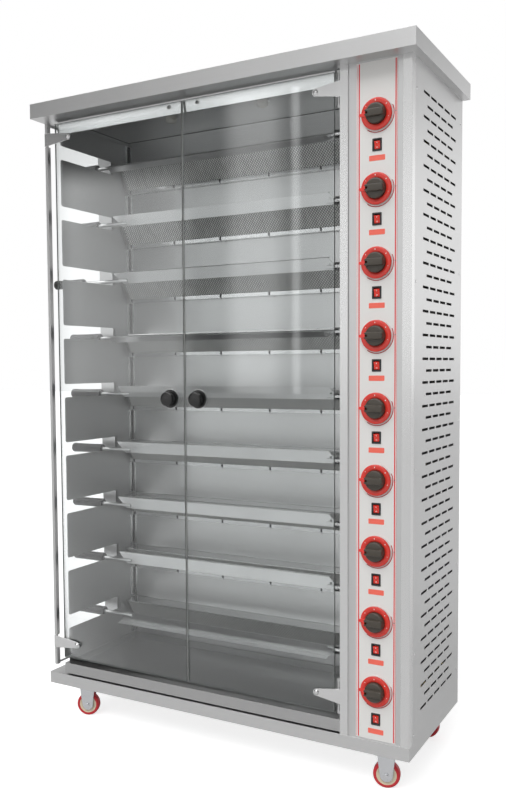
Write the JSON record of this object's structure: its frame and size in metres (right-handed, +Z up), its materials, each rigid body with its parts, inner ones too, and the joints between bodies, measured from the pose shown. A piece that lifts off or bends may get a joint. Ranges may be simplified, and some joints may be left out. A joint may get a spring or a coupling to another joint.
{
  "type": "chicken rotisserie",
  "caption": "Tall stainless gas chicken rotisserie on casters, with stacked spits behind two glass doors, a burner behind each spit and a column of gas knobs and motor switches.",
  "frame": {"origin": "centre of the bounding box in plan, on the floor under the wheels", "axes": "+Z up, +X towards the control column at the right, +Y towards the back; the doors face -Y"},
  "size_m": [1.416, 0.529, 2.008],
  "materials": {
    "brushed_stainless": "brushed stainless sheet",
    "polished_stainless": "bright stainless",
    "white_fascia": "printed white plate",
    "red_plastic": "glossy red plastic",
    "burner_mesh": "woven heat resistant mesh",
    "motor_grey": "grey paint",
    "brass": "machined",
    "lamp_glass": "frosted",
    "door_glass": "clear tempered glass",
    "zinc_steel": "zinc plated",
    "wheel_red": "red polyurethane"
  },
  "bodies": {
    "cabinet": {"base_frame": "brushed_stainless", "top_cap": "brushed_stainless", "ceiling_panel": "brushed_stainless", "slotted_wall": "brushed_stainless", "drive_wall": "brushed_stainless", "back_wall": "brushed_stainless", "rear_cover": "brushed_stainless", "left_frame": "brushed_stainless", "wall_brackets": "brushed_stainless", "top_rail": "polished_stainless", "column_posts": "polished_stainless", "control_panel": "brushed_stainless", "fascia_plate": "white_fascia", "dial_trim": "red_plastic", "side_panel": "brushed_stainless", "burner_housings": "polished_stainless", "burner_meshes": "burner_mesh", "gear_motors": "motor_grey", "gas_manifold": "brass", "interior_lamps": "lamp_glass"},
    "door_left": {"door_glass_left": "door_glass", "door_fittings_left": "polished_stainless"},
    "door_right": {"door_glass_right": "door_glass", "door_fittings_right": "polished_stainless"},
    "tray": {"drip_tray": "brushed_stainless"},
    "spit_body_1": {"spit_1": "polished_stainless"},
    "spit_body_2": {"spit_2": "polished_stainless"},
    "spit_body_3": {"spit_3": "polished_stainless"},
    "spit_body_4": {"spit_4": "polished_stainless"},
    "spit_body_5": {"spit_5": "polished_stainless"},
    "spit_body_6": {"spit_6": "polished_stainless"},
    "spit_body_7": {"spit_7": "polished_stainless"},
    "spit_body_8": {"spit_8": "polished_stainless"},
    "spit_body_9": {"spit_9": "polished_stainless"},
    "knob_body_1": {"knob_1": "red_plastic"},
    "knob_body_2": {"knob_2": "red_plastic"},
    "knob_body_3": {"knob_3": "red_plastic"},
    "knob_body_4": {"knob_4": "red_plastic"},
    "knob_body_5": {"knob_5": "red_plastic"},
    "knob_body_6": {"knob_6": "red_plastic"},
    "knob_body_7": {"knob_7": "red_plastic"},
    "knob_body_8": {"knob_8": "red_plastic"},
    "knob_body_9": {"knob_9": "red_plastic"},
    "rocker_body_1": {"rocker_1": "red_plastic"},
    "rocker_body_2": {"rocker_2": "red_plastic"},
    "rocker_body_3": {"rocker_3": "red_plastic"},
    "rocker_body_4": {"rocker_4": "red_plastic"},
    "rocker_body_5": {"rocker_5": "red_plastic"},
    "rocker_body_6": {"rocker_6": "red_plastic"},
    "rocker_body_7": {"rocker_7": "red_plastic"},
    "rocker_body_8": {"rocker_8": "red_plastic"},
    "rocker_body_9": {"rocker_9": "red_plastic"},
    "fork_body_1": {"caster_fork_1": "zinc_steel"},
    "wheel_body_1": {"caster_wheel_1": "wheel_red"},
    "fork_body_2": {"caster_fork_2": "zinc_steel"},
    "wheel_body_2": {"caster_wheel_2": "wheel_red"},
    "fork_body_3": {"caster_fork_3": "zinc_steel"},
    "wheel_body_3": {"caster_wheel_3": "wheel_red"},
    "fork_body_4": {"caster_fork_4": "zinc_steel"},
    "wheel_body_4": {"caster_wheel_4": "wheel_red"}
  },
  "joints": [
    {"name": "door_left_hinge", "type": "hinge", "parent": "cabinet", "child": "door_left", "pos_m": [-0.556, -0.1905, 1.075], "axis": [0, 0, -1], "range_deg": [0, 100]},
    {"name": "door_right_hinge", "type": "hinge", "parent": "cabinet", "child": "door_right", "pos_m": [0.471, -0.1905, 1.075], "axis": [0, 0, 1], "range_deg": [0, 100]},
    {"name": "tray_slide", "type": "slide", "parent": "cabinet", "child": "tray", "axis": [0, -1, 0], "range_m": [0, 0.3]},
    {"name": "spit_turn_1", "type": "hinge", "parent": "cabinet", "child": "spit_body_1", "pos_m": [-0.011, 0.0155, 0.299], "axis": [1, 0, 0], "continuous": true},
    {"name": "spit_turn_2", "type": "hinge", "parent": "cabinet", "child": "spit_body_2", "pos_m": [-0.011, 0.0155, 0.4928], "axis": [1, 0, 0], "continuous": true},
    {"name": "spit_turn_3", "type": "hinge", "parent": "cabinet", "child": "spit_body_3", "pos_m": [-0.011, 0.0155, 0.6866], "axis": [1, 0, 0], "continuous": true},
    {"name": "spit_turn_4", "type": "hinge", "parent": "cabinet", "child": "spit_body_4", "pos_m": [-0.011, 0.0155, 0.8804], "axis": [1, 0, 0], "continuous": true},
    {"name": "spit_turn_5", "type": "hinge", "parent": "cabinet", "child": "spit_body_5", "pos_m": [-0.011, 0.0155, 1.0742], "axis": [1, 0, 0], "continuous": true},
    {"name": "spit_turn_6", "type": "hinge", "parent": "cabinet", "child": "spit_body_6", "pos_m": [-0.011, 0.0155, 1.268], "axis": [1, 0, 0], "continuous": true},
    {"name": "spit_turn_7", "type": "hinge", "parent": "cabinet", "child": "spit_body_7", "pos_m": [-0.011, 0.0155, 1.4618], "axis": [1, 0, 0], "continuous": true},
    {"name": "spit_turn_8", "type": "hinge", "parent": "cabinet", "child": "spit_body_8", "pos_m": [-0.011, 0.0155, 1.6556], "axis": [1, 0, 0], "continuous": true},
    {"name": "spit_turn_9", "type": "hinge", "parent": "cabinet", "child": "spit_body_9", "pos_m": [-0.011, 0.0155, 1.8494], "axis": [1, 0, 0], "continuous": true},
    {"name": "knob_turn_1", "type": "hinge", "parent": "cabinet", "child": "knob_body_1", "pos_m": [0.5895, -0.2195, 0.2846], "axis": [0, -1, 0], "range_deg": [0, 210]},
    {"name": "knob_turn_2", "type": "hinge", "parent": "cabinet", "child": "knob_body_2", "pos_m": [0.5895, -0.2195, 0.4766], "axis": [0, -1, 0], "range_deg": [0, 210]},
    {"name": "knob_turn_3", "type": "hinge", "parent": "cabinet", "child": "knob_body_3", "pos_m": [0.5895, -0.2195, 0.6686], "axis": [0, -1, 0], "range_deg": [0, 210]},
    {"name": "knob_turn_4", "type": "hinge", "parent": "cabinet", "child": "knob_body_4", "pos_m": [0.5895, -0.2195, 0.8606], "axis": [0, -1, 0], "range_deg": [0, 210]},
    {"name": "knob_turn_5", "type": "hinge", "parent": "cabinet", "child": "knob_body_5", "pos_m": [0.5895, -0.2195, 1.0526], "axis": [0, -1, 0], "range_deg": [0, 210]},
    {"name": "knob_turn_6", "type": "hinge", "parent": "cabinet", "child": "knob_body_6", "pos_m": [0.5895, -0.2195, 1.2446], "axis": [0, -1, 0], "range_deg": [0, 210]},
    {"name": "knob_turn_7", "type": "hinge", "parent": "cabinet", "child": "knob_body_7", "pos_m": [0.5895, -0.2195, 1.4366], "axis": [0, -1, 0], "range_deg": [0, 210]},
    {"name": "knob_turn_8", "type": "hinge", "parent": "cabinet", "child": "knob_body_8", "pos_m": [0.5895, -0.2195, 1.6286], "axis": [0, -1, 0], "range_deg": [0, 210]},
    {"name": "knob_turn_9", "type": "hinge", "parent": "cabinet", "child": "knob_body_9", "pos_m": [0.5895, -0.2195, 1.8206], "axis": [0, -1, 0], "range_deg": [0, 210]},
    {"name": "rocker_tip_1", "type": "hinge", "parent": "cabinet", "child": "rocker_body_1", "pos_m": [0.5895, -0.2113, 0.2066], "axis": [1, 0, 0], "range_deg": [-18, 0]},
    {"name": "rocker_tip_2", "type": "hinge", "parent": "cabinet", "child": "rocker_body_2", "pos_m": [0.5895, -0.2113, 0.3986], "axis": [1, 0, 0], "range_deg": [-18, 0]},
    {"name": "rocker_tip_3", "type": "hinge", "parent": "cabinet", "child": "rocker_body_3", "pos_m": [0.5895, -0.2113, 0.5906], "axis": [1, 0, 0], "range_deg": [-18, 0]},
    {"name": "rocker_tip_4", "type": "hinge", "parent": "cabinet", "child": "rocker_body_4", "pos_m": [0.5895, -0.2113, 0.7826], "axis": [1, 0, 0], "range_deg": [-18, 0]},
    {"name": "rocker_tip_5", "type": "hinge", "parent": "cabinet", "child": "rocker_body_5", "pos_m": [0.5895, -0.2113, 0.9746], "axis": [1, 0, 0], "range_deg": [-18, 0]},
    {"name": "rocker_tip_6", "type": "hinge", "parent": "cabinet", "child": "rocker_body_6", "pos_m": [0.5895, -0.2113, 1.1666], "axis": [1, 0, 0], "range_deg": [-18, 0]},
    {"name": "rocker_tip_7", "type": "hinge", "parent": "cabinet", "child": "rocker_body_7", "pos_m": [0.5895, -0.2113, 1.3586], "axis": [1, 0, 0], "range_deg": [-18, 0]},
    {"name": "rocker_tip_8", "type": "hinge", "parent": "cabinet", "child": "rocker_body_8", "pos_m": [0.5895, -0.2113, 1.5506], "axis": [1, 0, 0], "range_deg": [-18, 0]},
    {"name": "rocker_tip_9", "type": "hinge", "parent": "cabinet", "child": "rocker_body_9", "pos_m": [0.5895, -0.2113, 1.7426], "axis": [1, 0, 0], "range_deg": [-18, 0]},
    {"name": "caster_swivel_1", "type": "hinge", "parent": "cabinet", "child": "fork_body_1", "pos_m": [-0.466, -0.1695, 0.096], "axis": [0, 0, 1], "continuous": true},
    {"name": "caster_roll_1", "type": "hinge", "parent": "fork_body_1", "child": "wheel_body_1", "pos_m": [-0.44546, -0.16162, 0.0375], "axis": [-0.3584, 0.9336, 0], "continuous": true},
    {"name": "caster_swivel_2", "type": "hinge", "parent": "cabinet", "child": "fork_body_2", "pos_m": [0.582, -0.1695, 0.096], "axis": [0, 0, 1], "continuous": true},
    {"name": "caster_roll_2", "type": "hinge", "parent": "fork_body_2", "child": "wheel_body_2", "pos_m": [0.60335, -0.16418, 0.0375], "axis": [-0.2419, 0.9703, 0], "continuous": true},
    {"name": "caster_swivel_3", "type": "hinge", "parent": "cabinet", "child": "fork_body_3", "pos_m": [-0.466, 0.2115, 0.096], "axis": [0, 0, 1], "continuous": true},
    {"name": "caster_roll_3", "type": "hinge", "parent": "fork_body_3", "child": "wheel_body_3", "pos_m": [-0.44475, 0.21719, 0.0375], "axis": [-0.2588, 0.9659, 0], "continuous": true},
    {"name": "caster_swivel_4", "type": "hinge", "parent": "cabinet", "child": "fork_body_4", "pos_m": [0.582, 0.2115, 0.096], "axis": [0, 0, 1], "continuous": true},
    {"name": "caster_roll_4", "type": "hinge", "parent": "fork_body_4", "child": "wheel_body_4", "pos_m": [0.60399, 0.21073, 0.0375], "axis": [0.0349, 0.9994, 0], "continuous": true}
  ]
}
